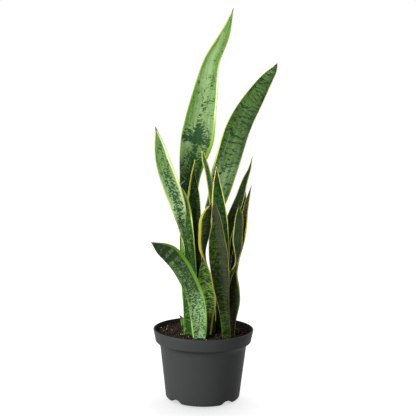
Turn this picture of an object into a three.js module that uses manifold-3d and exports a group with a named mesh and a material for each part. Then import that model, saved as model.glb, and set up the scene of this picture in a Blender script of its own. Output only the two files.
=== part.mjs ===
// Potted snake plant: a nursery pot, its potting soil, fourteen leaves, one small scale leaf and
// the rhizomes that the leaves stand on. Millimetres, +Z up, front of the plant towards -Y, with
// the origin at the middle of the pot's underside.
import * as THREE from "three";
import { mergeVertices } from "three/addons/utils/BufferGeometryUtils.js";
import Module from "manifold-3d";

const wasm = await Module();
wasm.setup();

// ---- driving dimensions ---------------------------------------------------------------------

const gap = 0.3; // between pieces that touch

const pot = {
  height: 115,
  lipRadius: 82.5, // outside of the rim
  lipThickness: 2.4,
  lipRounding: 0.6,
  bandRadius: 79.1, // outside, at the lower edge of the rim band
  bandDepth: 19, // from the lip down to that edge
  bodyRadius: 70.8, // outside, where the shoulder has run out into the wall
  shoulderDepth: 31, // from the lip down to that height
  // the shoulder's hollow curve, as shares of the way out and up from the wall to the band edge
  shoulder: [[0, 0], [0.1, 0.28], [0.34, 0.54], [0.7, 0.78], [0.93, 0.92], [1, 1.06]],
  baseRadius: 60.9, // where the wall would meet the ground
  baseRounding: 4,
  wall: 1.8,
  sides: 64,
};

const notch = {
  count: 4,
  firstAngle: 43, // degrees from +X
  width: 10, // across its top
  slope: 9, // how much wider it is at the ground, on each side
  height: 5.2,
  slopeSteps: 5,
  innerRadius: 36,
  holeRadius: 5.5,
  holeCircle: 47,
  holeSides: 20,
};

const soil = {
  top: 107,
  unevenness: 1.5,
  topRings: 5,
  sides: 36,
};

const blade = {
  baseThickness: 5,
  tipThickness: 1.6,
  tipCupShare: 0.4, // how much of the channel's depth is left at the tip
  edgeShare: 0.14, // thickness at the margins, as a share of the middle
  steps: 20,
  lastRing: 0.985, // where the last ring stands before the tip, as a share of the length
  extraDepth: 5, // how much further down a leaf's socket goes than the leaf
};

// The leaves, from the buried end to the tip. A station is x, y, z, the width there, and the
// way the inner face looks, in degrees from the front, positive towards +X. The cup is the
// depth of the channel as a share of half the width, and the tone is the leaf's finish.
const leaves = {
  leaf_tall_left: {
    tone: "pale",
    cup: 0.30,
    stations: [
      [-20, 8, 92, 17, 0],
      [-27, 10, 180, 20, 0],
      [-29, 16, 250, 29, 30],
      [-29, 24, 330, 35, 38],
      [-24, 31, 384, 46, 26],
      [-14, 37, 426, 55, 2],
      [-8.5, 43, 462, 50, 0],
      [-2, 50, 500, 42, 0],
      [7, 61, 550, 28, 0],
      [30, 73, 601, 17, 0],
      [44, 82, 644, 0, 0],
    ],
  },
  leaf_tall_right: {
    tone: "mottled",
    cup: 0.30,
    stations: [
      [-3, 18, 92, 16, 30],
      [-6, 20, 200, 21, 50],
      [-3, 22, 262, 25, 46],
      [4, 23, 285, 28, 38],
      [18, 24, 323, 34, 18],
      [32.5, 26, 378, 42, 0],
      [56, 26, 452, 40, 0],
      [80, 22, 499, 34, 0],
      [99, 18, 528, 21, 0],
      [109, 15, 540, 11, 0],
      [114, 12, 550, 0, 0],
    ],
  },
  leaf_light: {
    tone: "pale",
    cup: 0.25,
    stations: [
      [-10, -24, 92, 14, 0],
      [-16, -27, 160, 16, 25],
      [-26, -29, 225, 20, 58],
      [-33, -31, 268, 22, 76],
      [-36, -33, 283, 22, 64],
      [-41, -36, 312, 24, 25],
      [-53, -43, 352, 28, 0],
      [-67, -51, 395, 23.5, 0],
      [-72.5, -56, 420, 16, 0],
      [-78, -63, 447, 0, 0],
    ],
  },
  leaf_behind_light: {
    tone: "mottled",
    cup: 0.25,
    stations: [
      [-23, -17, 92, 16, 0],
      [-23, -14, 165, 22, 0],
      [-24, -13, 208, 24, 0],
      [-26, -14, 250, 22, 0],
      [-29, -17, 293, 19, 0],
      [-32, -20, 322, 15, 0],
      [-35, -22, 340, 8, 0],
      [-40, -23, 354, 3, 0],
      [-32, -24, 361, 0, 0],
    ],
  },
  leaf_dark_left: {
    tone: "dark",
    cup: 0.25,
    stations: [
      [-9, -2, 92, 13, 0],
      [-11, -4, 196, 16, 0],
      [-15, -6, 262, 21, 0],
      [-18, -5, 302, 24, 0],
      [-19, -2, 341, 19, 20],
      [-20, 2, 368, 11, 50],
      [-16, 7, 399, 0, 80],
    ],
  },
  leaf_front_left: {
    tone: "mottled",
    cup: 0.30,
    stations: [
      [-6, -40, 92, 17, 0],
      [-7, -43, 136, 26, 0],
      [-16, -49, 181, 26, 0],
      [-32, -56, 215, 24, 0],
      [-43, -60, 233, 25, 0],
      [-55, -65, 248, 26.5, 0],
      [-67, -71, 258, 21, 0],
      [-83, -79, 269, 0, 0],
    ],
  },
  leaf_twisted: {
    tone: "dark",
    cup: 0.45,
    stations: [
      [6, -17, 92, 11, 0],
      [8, -20, 137, 17, 0],
      [8, -22, 167, 25, -5],
      [4, -23, 189, 26, -15],
      [2.5, -24, 212, 25, -38],
      [0.5, -24, 232, 24, -80],
      [-1.5, -24, 255, 22, -122],
      [0, -24, 280, 24, -138],
      [2, -24, 301, 21, -145],
      [6, -24, 314, 13, -150],
      [11, -24, 325, 0, -150],
    ],
  },
  leaf_front: {
    tone: "dark",
    cup: 0.25,
    stations: [
      [39, -36, 92, 14, 0],
      [34, -36, 146, 16, 0],
      [31, -35, 168, 20, 0],
      [26, -35, 211, 29.5, 0],
      [22, -35, 247, 31, 0],
      [20, -36, 267, 27, 0],
      [19, -38, 297, 16, 0],
      [16, -39, 315, 11, 0],
      [14, -41, 335, 0, 0],
    ],
  },
  leaf_middle: {
    tone: "dark",
    cup: 0.25,
    stations: [
      [27, 12, 92, 14, 0],
      [31, 7, 135, 15, 0],
      [29, 3, 178, 19, 0],
      [27, 0, 229, 25, 0],
      [26, -2, 271, 27, 0],
      [22, -4, 320, 23, 0],
      [19, -6, 353, 13, 0],
      [18, -9, 386, 0, 0],
    ],
  },
  leaf_narrow: {
    tone: "mottled",
    cup: 0.30,
    stations: [
      [13, 4, 92, 10, 0],
      [18, 12, 178, 12, 0],
      [19, 14, 245, 14, 0],
      [15, 12, 310, 13, 0],
      [8, 10, 352, 10, 0],
      [3, 8, 376, 9, 0],
      [-3, 5, 397, 7, 0],
      [-6, 2, 414, 0, 0],
    ],
  },
  leaf_dark_right: {
    tone: "dark",
    cup: 0.25,
    stations: [
      [41, 12, 92, 13, 0],
      [37, 16, 165, 13, 0],
      [34, 17, 228, 15, 0],
      [36, 18, 264, 16, 0],
      [43, 21, 290, 18, 0],
      [57, 28, 328, 15, 0],
      [67, 35, 361, 9, 0],
      [73, 38, 376, 5, 0],
      [78, 43, 397, 0, 0],
    ],
  },
  leaf_short_right: {
    tone: "dark",
    cup: 0.25,
    stations: [
      [49, 25, 92, 12, 0],
      [45, 27, 178, 13, 0],
      [43, 28, 225, 16, 0],
      [46, 29, 244, 16, 0],
      [50, 30, 263, 15, 0],
      [59, 34, 289, 13, 0],
      [65, 39, 314, 9, 0],
      [68, 44, 338, 0, 0],
    ],
  },
  leaf_outer_right: {
    tone: "dark",
    cup: 0.30,
    stations: [
      [47, -17, 92, 8, 0],
      [47, -18, 133, 13, -10],
      [50, -18, 168, 20, -15],
      [49.5, -18, 184, 20, -25],
      [48.5, -18, 212, 20, -50],
      [50.5, -18, 230, 20, -52],
      [59, -18, 266, 21, -50],
      [62.5, -17, 286, 17, -45],
      [67.5, -13, 324, 8, -30],
      [75, -7, 354, 0, -10],
    ],
  },
  leaf_grey_right: {
    tone: "dark",
    cup: 0.20,
    stations: [
      [36, -15, 92, 9, 0],
      [33, -20, 150, 9, 0],
      [36, -23, 184, 9, 0],
      [42, -26, 208, 8, 20],
      [51, -31, 228, 8, 60],
      [53, -32, 248, 13, 35],
      [53, -30, 266, 16, 5],
      [54, -28, 286, 15, 0],
      [55, -28, 302, 13, 0],
      [54, -28, 325, 0, 0],
    ],
  },
  sheath_scale: {
    tone: "mottled",
    cup: 0.30,
    stations: [
      [-33, -5, 96, 7, 0],
      [-33, -6, 120, 7, 0],
      [-35, -7, 131, 6, 0],
      [-40, -9, 139, 0, 0],
    ],
  },
};

// The rhizomes lie under the leaves: the points that each runs through, and how thick it is.
const rhizomes = {
  rhizome_left: {
    radius: 8.5,
    points: [[-34, 0, 81], [-19, 2, 82], [-14, -16, 81], [-6, -38, 82]],
  },
  rhizome_middle: {
    radius: 8,
    points: [[6, -20, 82], [8, -4, 80], [4, 16, 81], [22, 14, 82]],
  },
  rhizome_right: {
    radius: 8.5,
    points: [[38, -38, 82], [41, -16, 81], [41, 6, 81], [48, 24, 82]],
  },
};
const rhizomeShape = { sides: 12, steps: 18, knots: 4, knotShare: 0.12 };

const finish = {
  pot: { color: 0x3f4340, roughness: 0.55, metalness: 0 },
  soil: { color: 0x33251b, roughness: 1, metalness: 0 },
  pale: { color: 0x739966, roughness: 0.45, metalness: 0 },
  mottled: { color: 0x456b38, roughness: 0.45, metalness: 0 },
  dark: { color: 0x1f331a, roughness: 0.45, metalness: 0 },
  rhizome: { color: 0xc08a4a, roughness: 0.7, metalness: 0 },
};

// ---- helpers ----------------------------------------------------------------------------------

const radians = THREE.MathUtils.degToRad;

function solidFrom(geometry) {
  const bare = geometry.index ? geometry.toNonIndexed() : geometry.clone();
  for (const name of Object.keys(bare.attributes)) {
    if (name !== "position") bare.deleteAttribute(name);
  }
  const merged = mergeVertices(bare, 1e-4);
  const corners = merged.index.array;
  const kept = []; // triangles at an axis or a tip that closed up to a line are dropped
  for (let i = 0; i < corners.length; i += 3) {
    const [a, b, c] = [corners[i], corners[i + 1], corners[i + 2]];
    if (a !== b && b !== c && c !== a) kept.push(a, b, c);
  }
  return new wasm.Manifold(
    new wasm.Mesh({
      numProp: 3,
      vertProperties: new Float32Array(merged.attributes.position.array),
      triVerts: new Uint32Array(kept),
    }),
  );
}

function geometryFrom(solid) {
  const { numProp, vertProperties, triVerts } = solid.getMesh();
  const count = vertProperties.length / numProp;
  const position = new Float32Array(count * 3);
  for (let i = 0; i < count; i++) {
    position.set(vertProperties.subarray(i * numProp, i * numProp + 3), i * 3);
  }
  const geometry = new THREE.BufferGeometry();
  geometry.setAttribute("position", new THREE.BufferAttribute(position, 3));
  geometry.setIndex(new THREE.BufferAttribute(new Uint32Array(triVerts), 1));
  geometry.computeVertexNormals();
  return geometry;
}

// A closed solid from rings of points, each ring with the same number of points. It ends in a
// point, or in a flat end where no point is given.
function solidFromRings(rings, point) {
  const sides = rings[0].length;
  const last = rings.length - 1;
  const middle = (ring) =>
    ring.reduce((sum, p) => sum.add(p), new THREE.Vector3()).divideScalar(sides);
  const position = [];
  const face = (a, b, c) => position.push(...a.toArray(), ...b.toArray(), ...c.toArray());
  const start = middle(rings[0]);
  const end = point ?? middle(rings[last]);
  for (let j = 0; j < sides; j++) {
    const k = (j + 1) % sides;
    face(start, rings[0][k], rings[0][j]);
    for (let i = 0; i < last; i++) {
      face(rings[i][j], rings[i][k], rings[i + 1][k]);
      face(rings[i][j], rings[i + 1][k], rings[i + 1][j]);
    }
    face(end, rings[last][j], rings[last][k]);
  }
  const geometry = new THREE.BufferGeometry();
  geometry.setAttribute("position", new THREE.Float32BufferAttribute(position, 3));
  return solidFrom(geometry);
}

// A solid of revolution about Z from [radius, height] points, anticlockwise from the bottom.
function turned(profile, sides) {
  const points = profile.map(([r, z]) => new THREE.Vector2(r, z));
  return new THREE.LatheGeometry(points, sides).rotateX(Math.PI / 2);
}

// A smooth curve through values at uneven stations: each slope is the weighted mean of its
// neighbours' slopes.
function smoothThrough(knots, values, at) {
  const last = knots.length - 1;
  const step = (i) => (values[i + 1] - values[i]) / (knots[i + 1] - knots[i]);
  const slope = (i) => {
    if (i === 0) return step(0);
    if (i === last) return step(last - 1);
    const before = knots[i] - knots[i - 1];
    const after = knots[i + 1] - knots[i];
    return (step(i - 1) * after + step(i) * before) / (before + after);
  };
  let i = 0;
  while (i < last - 1 && at >= knots[i + 1]) i++;
  const length = knots[i + 1] - knots[i];
  const u = (at - knots[i]) / length;
  const [u2, u3] = [u * u, u * u * u];
  return (
    (2 * u3 - 3 * u2 + 1) * values[i] +
    (u3 - 2 * u2 + u) * length * slope(i) +
    (3 * u2 - 2 * u3) * values[i + 1] +
    (u3 - u2) * length * slope(i + 1)
  );
}

// ---- pot --------------------------------------------------------------------------------------

// Outside of the wall from the ground to the lip, as [radius, height].
function outerWall() {
  const bandFoot = pot.height - pot.bandDepth;
  const shoulderFoot = pot.height - pot.shoulderDepth;
  const lean = (pot.bodyRadius - pot.baseRadius) / shoulderFoot;
  const wall = [];
  for (const turn of [0, 30, 60, 90]) {
    const inset = pot.baseRounding * (1 - Math.sin(radians(turn)));
    const rise = pot.baseRounding * (1 - Math.cos(radians(turn)));
    wall.push([pot.baseRadius + lean * rise - inset, rise]);
  }
  const ledge = pot.bandRadius - pot.bodyRadius;
  const drop = bandFoot - shoulderFoot;
  for (const [along, up] of pot.shoulder) {
    wall.push([pot.bodyRadius + ledge * along, shoulderFoot + drop * up]);
  }
  wall.push([pot.lipRadius, pot.height - pot.lipRounding]);
  wall.push([pot.lipRadius - pot.lipRounding, pot.height]);
  return wall;
}

// The inside follows the outside a wall's thickness away.
function innerWall(inset) {
  const outer = outerWall().slice(3, -2);
  const wall = outer.map(([r, z]) => [r - inset, z]);
  wall.push([pot.lipRadius - pot.lipThickness + pot.wall - inset, pot.height - pot.lipRounding]);
  return wall;
}

// The space of one drainage notch, grown on every side.
function notchSolid(index, grown) {
  const half = notch.width / 2 + grown;
  const top = notch.height + grown;
  const side = [new THREE.Vector2(half + notch.slope, -1)];
  for (let i = 0; i <= notch.slopeSteps; i++) {
    const share = i / notch.slopeSteps;
    const rise = (1 - Math.cos(Math.PI * share)) / 2;
    side.push(new THREE.Vector2(half + notch.slope * (1 - share), top * rise));
  }
  const mirrored = side.map((p) => new THREE.Vector2(-p.x, p.y)).reverse();
  const outline = new THREE.Shape([...side, ...mirrored]);
  const inner = notch.innerRadius - grown;
  const length = pot.lipRadius - inner;
  const geometry = new THREE.ExtrudeGeometry(outline, { depth: length, bevelEnabled: false });
  geometry.rotateX(Math.PI / 2); // outline upright, running towards -Y
  geometry.translate(0, -inner, 0);
  const angle = notch.firstAngle + (360 / notch.count) * index;
  geometry.rotateZ(radians(angle + 90));
  return solidFrom(geometry);
}

function drainHole(index) {
  const height = 3 * notch.height;
  const geometry = new THREE.CylinderGeometry(
    notch.holeRadius,
    notch.holeRadius,
    height,
    notch.holeSides,
  );
  geometry.rotateX(Math.PI / 2);
  const angle = radians(notch.firstAngle + (360 / notch.count) * index);
  geometry.translate(
    notch.holeCircle * Math.cos(angle),
    notch.holeCircle * Math.sin(angle),
    notch.height,
  );
  return solidFrom(geometry);
}

function makePot() {
  const outside = solidFrom(
    turned([[0, 0], ...outerWall(), [0, pot.height]], pot.sides),
  );
  const [firstRadius] = innerWall(pot.wall)[0];
  let inside = solidFrom(
    turned(
      [
        [0, pot.wall],
        [firstRadius - pot.wall, pot.wall],
        ...innerWall(pot.wall),
        [pot.lipRadius - pot.lipThickness + pot.lipRounding, pot.height + 1],
        [0, pot.height + 1],
      ],
      pot.sides,
    ),
  );
  let shell = outside;
  for (let i = 0; i < notch.count; i++) {
    inside = inside.subtract(notchSolid(i, pot.wall));
    shell = shell.subtract(notchSolid(i, 0));
  }
  shell = shell.subtract(inside);
  for (let i = 0; i < notch.count; i++) shell = shell.subtract(drainHole(i));
  return shell;
}

// ---- leaves -----------------------------------------------------------------------------------

// A leaf blade: a channelled lens section carried along its stations. A grown blade is the
// space that the leaf needs in the soil.
function makeBlade({ cup, stations }, grown) {
  const columns = [0, 1, 2, 3, 4].map((c) => stations.map((station) => station[c]));
  const knots = [0];
  for (let i = 1; i < stations.length; i++) {
    const [a, b] = [stations[i - 1], stations[i]];
    knots.push(knots[i - 1] + Math.hypot(b[0] - a[0], b[1] - a[1], b[2] - a[2]));
  }
  const length = knots[knots.length - 1];
  const spine = (s) =>
    new THREE.Vector3(...[0, 1, 2].map((c) => smoothThrough(knots, columns[c], s)));
  const rings = [];
  for (let i = 0; i < blade.steps; i++) {
    const share = (blade.lastRing * i) / (blade.steps - 1);
    const s = share * length;
    const reach = length / 1000;
    const along = spine(Math.min(s + reach, length)).sub(spine(Math.max(s - reach, 0)));
    along.normalize();
    const turn = radians(smoothThrough(knots, columns[4], s));
    const face = new THREE.Vector3(Math.sin(turn), -Math.cos(turn), 0);
    const across = new THREE.Vector3().crossVectors(along, face).normalize();
    const out = new THREE.Vector3().crossVectors(across, along);
    const width = Math.max(smoothThrough(knots, columns[3], s), 1.2);
    const depth = (cup * (1 - (1 - blade.tipCupShare) * share) * width) / 2;
    const full = THREE.MathUtils.lerp(blade.baseThickness, blade.tipThickness, share);
    const thickness = Math.min(full, 0.35 * width + 0.3);
    const middle = spine(s);
    if (grown && i === 0) middle.addScaledVector(along, -blade.extraDepth);
    const ring = [];
    const place = (v, side) => {
      const edge = Math.sqrt(Math.max(1 - v * v, blade.edgeShare ** 2));
      const rise = depth * (v * v - 0.4) + side * ((thickness / 2) * edge + grown);
      const shift = (width / 2) * v + Math.sign(v) * grown * (Math.abs(v) === 1 ? 1 : 0);
      ring.push(middle.clone().addScaledVector(across, shift).addScaledVector(out, rise));
    };
    for (const v of [-1, -0.5, 0, 0.5, 1]) place(v, 1);
    for (const v of [1, 0.5, 0, -0.5, -1]) place(v, -1);
    rings.push(ring);
  }
  return solidFromRings(rings, spine(length));
}

// ---- rhizomes ---------------------------------------------------------------------------------

function makeRhizome({ radius, points }, grown) {
  const { sides, steps, knots, knotShare } = rhizomeShape;
  const path = new THREE.CatmullRomCurve3(points.map((p) => new THREE.Vector3(...p)));
  const rings = [];
  for (let i = 0; i <= steps; i++) {
    const share = i / steps;
    const along = path.getTangentAt(share);
    const across = new THREE.Vector3(-along.y, along.x, 0).normalize();
    const up = new THREE.Vector3().crossVectors(along, across);
    const end = Math.sqrt(1 - Math.abs(2 * share - 1) ** 6 * 0.85);
    const swell = 1 - knotShare * Math.cos(2 * Math.PI * knots * share) ** 2;
    const size = radius * end * swell + grown;
    const middle = path.getPointAt(share);
    if (i === 0) middle.addScaledVector(along, -grown);
    if (i === steps) middle.addScaledVector(along, grown);
    const ring = [];
    for (let j = 0; j < sides; j++) {
      const turn = (2 * Math.PI * j) / sides;
      ring.push(
        middle
          .clone()
          .addScaledVector(across, size * Math.cos(turn))
          .addScaledVector(up, size * Math.sin(turn)),
      );
    }
    rings.push(ring);
  }
  return solidFromRings(rings);
}

// ---- soil -------------------------------------------------------------------------------------

function soilHeight(x, y) {
  const waves = Math.sin(x / 9 + 1) * Math.cos(y / 11) + 0.6 * Math.sin(x / 23 - y / 17);
  return soil.top + (soil.unevenness * waves) / 1.6;
}

function makeSoil() {
  const wall = innerWall(pot.wall + gap).filter(([, z]) => z < soil.top);
  const inner = pot.lipRadius - pot.lipThickness;
  const topLevel = pot.height - soil.top;
  const [, bandFoot] = wall[wall.length - 1];
  const rise = (soil.top - bandFoot) / (pot.height - bandFoot);
  const topRadius = THREE.MathUtils.lerp(wall[wall.length - 1][0], inner - gap, rise) - gap;
  const floor = pot.wall + gap;
  const profile = [[0, floor], [wall[0][0] - pot.wall, floor], ...wall, [topRadius, soil.top]];
  for (let i = soil.topRings - 1; i >= 0; i--) {
    profile.push([(topRadius * i) / soil.topRings, soil.top]);
  }
  const geometry = turned(profile, soil.sides);
  const position = geometry.attributes.position;
  for (let i = 0; i < position.count; i++) {
    const [x, y, z] = [position.getX(i), position.getY(i), position.getZ(i)];
    const onTop = soil.top - z < topLevel / 100;
    if (onTop && Math.hypot(x, y) < topRadius - 1) position.setZ(i, soilHeight(x, y));
  }
  let body = solidFrom(geometry);
  for (let i = 0; i < notch.count; i++) body = body.subtract(notchSolid(i, pot.wall + gap));
  for (const shape of Object.values(rhizomes)) body = body.subtract(makeRhizome(shape, gap));
  for (const shape of Object.values(leaves)) body = body.subtract(makeBlade(shape, gap));
  return body;
}

// ---- assembly ---------------------------------------------------------------------------------

const group = new THREE.Group();

function add(name, solid, look) {
  const mesh = new THREE.Mesh(geometryFrom(solid), new THREE.MeshStandardMaterial(look));
  mesh.name = name;
  group.add(mesh);
}

add("pot", makePot(), finish.pot);
add("soil", makeSoil(), finish.soil);
for (const [name, shape] of Object.entries(rhizomes)) {
  add(name, makeRhizome(shape, 0), finish.rhizome);
}
for (const [name, shape] of Object.entries(leaves)) {
  add(name, makeBlade(shape, 0), finish[shape.tone]);
}

export default group;
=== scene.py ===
import math
import random

import bpy
from mathutils import Euler, Matrix, Vector


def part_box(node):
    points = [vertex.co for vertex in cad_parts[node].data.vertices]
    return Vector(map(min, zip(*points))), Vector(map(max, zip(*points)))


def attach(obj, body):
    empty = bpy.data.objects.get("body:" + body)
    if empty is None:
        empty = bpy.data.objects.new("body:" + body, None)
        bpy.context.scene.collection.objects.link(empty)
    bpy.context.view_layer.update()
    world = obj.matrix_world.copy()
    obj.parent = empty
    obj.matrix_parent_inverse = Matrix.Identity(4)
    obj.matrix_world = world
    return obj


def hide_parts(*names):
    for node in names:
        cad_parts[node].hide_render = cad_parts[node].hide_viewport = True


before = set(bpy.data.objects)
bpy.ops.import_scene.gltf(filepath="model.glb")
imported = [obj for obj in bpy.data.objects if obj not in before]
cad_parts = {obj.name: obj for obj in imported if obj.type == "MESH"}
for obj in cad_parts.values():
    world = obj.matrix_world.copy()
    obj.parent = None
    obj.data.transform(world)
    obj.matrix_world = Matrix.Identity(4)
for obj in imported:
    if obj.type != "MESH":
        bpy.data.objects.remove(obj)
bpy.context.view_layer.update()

mm = 0.001
rootBody = "root"


def deselectAll():
    if bpy.context.object and bpy.context.object.mode != "OBJECT":
        bpy.ops.object.mode_set(mode="OBJECT")
    bpy.ops.object.select_all(action="DESELECT")


def makeActive(piece):
    deselectAll()
    piece.select_set(True)
    bpy.context.view_layer.objects.active = piece


def namedPiece(name):
    piece = bpy.context.object
    piece.name = name
    piece.data.name = name
    return piece


def applyAll(piece):
    makeActive(piece)
    for modifier in list(piece.modifiers):
        bpy.ops.object.modifier_apply(modifier=modifier.name)


def joinAll(pieces, name):
    makeActive(pieces[0])
    for piece in pieces:
        piece.select_set(True)
    bpy.ops.object.join()
    return namedPiece(name)


def smoothAt(degrees, piece):
    makeActive(piece)
    bpy.ops.object.shade_smooth_by_angle(angle=math.radians(degrees))


def fitOnBody(piece, slotName, *nodes):
    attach(piece, rootBody)
    if nodes:
        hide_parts(*nodes)


def curveThrough(knots, values, at):
    # smooth curve through values at uneven knots
    last = len(knots) - 1

    def step(i):
        return (values[i + 1] - values[i]) / (knots[i + 1] - knots[i])

    def slope(i):
        if i == 0:
            return step(0)
        if i == last:
            return step(last - 1)
        before = knots[i] - knots[i - 1]
        after = knots[i + 1] - knots[i]
        return (step(i - 1) * after + step(i) * before) / (before + after)

    i = 0
    while i < last - 1 and at >= knots[i + 1]:
        i += 1
    length = knots[i + 1] - knots[i]
    u = (at - knots[i]) / length
    return (
        (2 * u ** 3 - 3 * u ** 2 + 1) * values[i]
        + (u ** 3 - 2 * u ** 2 + u) * length * slope(i)
        + (3 * u ** 2 - 2 * u ** 3) * values[i + 1]
        + (u ** 3 - u ** 2) * length * slope(i + 1)
    )


def rampAt(points, at):
    # straight lines between (place, value) points, level beyond both ends
    if at <= points[0][0]:
        return points[0][1]
    for (a, va), (b, vb) in zip(points, points[1:]):
        if at <= b:
            return va + (vb - va) * (at - a) / (b - a)
    return points[-1][1]


def acrossRamp(rows, height, side):
    # values lie evenly between the two sides at this share of the half width
    reach = bladeLook["rampReach"]
    count = max(map(len, rows)) - 1
    values = [
        rampAt([(row[0], row[min(c, len(row) - 1)]) for row in rows], height) for c in range(1, count + 1)
    ]
    if count == 1:
        return values[0]
    spread = 2 * reach / (count - 1)
    return rampAt([(i * spread - reach, value) for i, value in enumerate(values)], side)


def newMaterial(name):
    material = bpy.data.materials.new(name)
    material.use_nodes = True
    return material, material.node_tree, material.node_tree.nodes["Principled BSDF"]


def addNode(tree, kind, values=None, **settings):
    # sockets among the values are linked, the others are set
    node = tree.nodes.new(kind)
    for key, value in settings.items():
        setattr(node, key, value)
    for key, value in (values or {}).items():
        if isinstance(value, bpy.types.NodeSocket):
            tree.links.new(value, node.inputs[key])
        else:
            node.inputs[key].default_value = value
    return node


def mathNode(tree, operation, *values, clamp=False):
    return addNode(
        tree, "ShaderNodeMath", dict(enumerate(values)), operation=operation, use_clamp=clamp
    ).outputs[0]


def scaled(tree, value, factor, plus):
    return mathNode(tree, "MULTIPLY_ADD", value, factor, plus)


def mixColour(tree, share, first, second, blend="MIX"):
    ends = [c if isinstance(c, bpy.types.NodeSocket) else (*c, 1) for c in (first, second)]
    values = {0: share, 6: ends[0], 7: ends[1]}
    return addNode(tree, "ShaderNodeMix", values, data_type="RGBA", blend_type=blend).outputs[2]


def softStep(tree, value, low, high, start=0.0, end=1.0, kind="SMOOTHSTEP"):
    # start below low, end above high, smooth between
    values = {"Value": value, "From Min": low, "From Max": high, "To Min": start, "To Max": end}
    return addNode(tree, "ShaderNodeMapRange", values, interpolation_type=kind).outputs[0]


def finishShader(tree, shader, colour, roughness, relief, strength, depth):
    tree.links.new(colour, shader.inputs["Base Color"])
    tree.links.new(roughness, shader.inputs["Roughness"])
    bump = addNode(tree, "ShaderNodeBump", {"Height": relief, "Strength": strength, "Distance": depth})
    tree.links.new(bump.outputs[0], shader.inputs["Normal"])


def splitPlace(tree, kind):
    place = addNode(tree, "ShaderNodeTexCoord").outputs[kind]
    return addNode(tree, "ShaderNodeSeparateXYZ", {0: place}).outputs


def newGroup(name, inputs, outputs):
    group = bpy.data.node_groups.new(name, "ShaderNodeTree")
    for socketName, start in inputs.items():
        socket = group.interface.new_socket(socketName, in_out="INPUT", socket_type="NodeSocketFloat")
        socket.default_value = start
    for socketName in outputs:
        group.interface.new_socket(socketName, in_out="OUTPUT", socket_type="NodeSocketFloat")
    return group, group.nodes.new("NodeGroupInput").outputs, group.nodes.new("NodeGroupOutput").inputs


def placeGroup(tree, group, values):
    return addNode(tree, "ShaderNodeGroup", values, node_tree=group).outputs


# what each blade's mesh carries: where a point lies on the leaf in mm, and how its skin changes there
bladeFields = ("across", "along", "toTip", "inside", "dark", "bloomAndSheen", "sheen", "shade", "rimGreen")

# every noise: a step added to the leaf's seed, width across and height along the leaf in mm, detail
patternLook = {
    "sway": (0.0, 9.0, 22.0, 1.0),
    "clusters": (17.3, 9.0, 16.0, 2.0),
    "breaks": (23.1, 5.0, 6.0, 2.0),
    "barDetail": (2.0, 0.4),  # detail and distortion
    "spotSeed": 31.9,
    "spotDetail": (3.0, 0.3),
    "spotFlatness": 0.5,
    "lineCore": 0.35,  # share of a line's weight that is fully dark
    "softness": 0.06,
    "streaks": {
        "Fine": (0.0, 0.7, 26.0, 2.0), "Broad": (5.0, 3.2, 60.0, 2.0), "Cloud": (9.0, 12.0, 15.0, 3.0),
    },
    "leafRoughness": 0.55,
    "grainRoughness": 0.6,
}


def makeBladePlaces():
    group, _, out = newGroup("bladePlaces", {}, bladeFields)
    for field in bladeFields:
        node = addNode(group, "ShaderNodeAttribute", attribute_name=field)
        group.links.new(node.outputs["Fac"], out[field])
    return group


def stretchedNoise(tree, across, along, seed, sizes, distortion=0.0):
    # noise whose lumps are wide across the leaf and tall along it
    step, width, height, detail = sizes
    place = addNode(tree, "ShaderNodeCombineXYZ", {
        "X": mathNode(tree, "DIVIDE", across, width),
        "Y": mathNode(tree, "DIVIDE", along, height),
        "Z": mathNode(tree, "ADD", seed, step),
    })
    return addNode(tree, "ShaderNodeTexNoise", {
        "Vector": place.outputs[0], "Scale": 1.0, "Detail": detail,
        "Roughness": patternLook["leafRoughness"], "Distortion": distortion,
    }).outputs["Fac"]


def shareMask(tree, value, share):
    # the part of a noise that covers about this share of the skin
    level = scaled(tree, share, -0.5, 0.75)
    soft = patternLook["softness"]
    low, high = mathNode(tree, "SUBTRACT", level, soft), mathNode(tree, "ADD", level, soft)
    return softStep(tree, value, low, high)


def makeCrossBands():
    # dark wavering lines that run across a leaf, broken into dashes, and mottling between them
    group, given, out = newGroup(
        "crossBands",
        {
            "Across": 0.0, "Along": 0.0, "Seed": 0.0, "Bar length": 12.0, "Bar height": 5.0,
            "Chevron": 0.0, "Waver": 3.0, "Dark share": 0.5, "Line weight": 0.04,
            "Spot size": 3.0, "Spot share": 0.0, "Clustering": 1.2,
        },
        ("Mask", "Pattern"),
    )
    look = patternLook
    across, along, seed = given["Across"], given["Along"], given["Seed"]
    sway = stretchedNoise(group, across, along, seed, look["sway"])
    spread = mathNode(group, "MULTIPLY", mathNode(group, "ABSOLUTE", across), given["Chevron"])
    bent = mathNode(group, "ADD", scaled(group, sway, given["Waver"], along), spread)
    detail, distortion = look["barDetail"]
    bars = stretchedNoise(
        group, across, bent, seed, (0.0, given["Bar length"], given["Bar height"], detail), distortion
    )
    away = mathNode(group, "ABSOLUTE", mathNode(group, "SUBTRACT", bars, 0.5))
    weight = given["Line weight"]
    line = softStep(group, away, mathNode(group, "MULTIPLY", weight, look["lineCore"]), weight, 1.0, 0.0)
    clusters = stretchedNoise(group, across, along, seed, look["clusters"])
    offMean = mathNode(group, "SUBTRACT", clusters, 0.5)
    gathered = scaled(group, offMean, given["Clustering"], given["Dark share"])
    breaks = stretchedNoise(group, across, bent, seed, look["breaks"])
    dashes = mathNode(group, "MULTIPLY", line, shareMask(group, breaks, gathered))
    size = given["Spot size"]
    tall = mathNode(group, "MULTIPLY", size, look["spotFlatness"])
    detail, distortion = look["spotDetail"]
    mottle = stretchedNoise(group, across, bent, seed, (look["spotSeed"], size, tall, detail), distortion)
    spots = shareMask(group, mottle, mathNode(group, "MULTIPLY", gathered, given["Spot share"]))
    group.links.new(mathNode(group, "MAXIMUM", dashes, spots), out["Mask"])
    group.links.new(bars, out["Pattern"])
    return group


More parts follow.
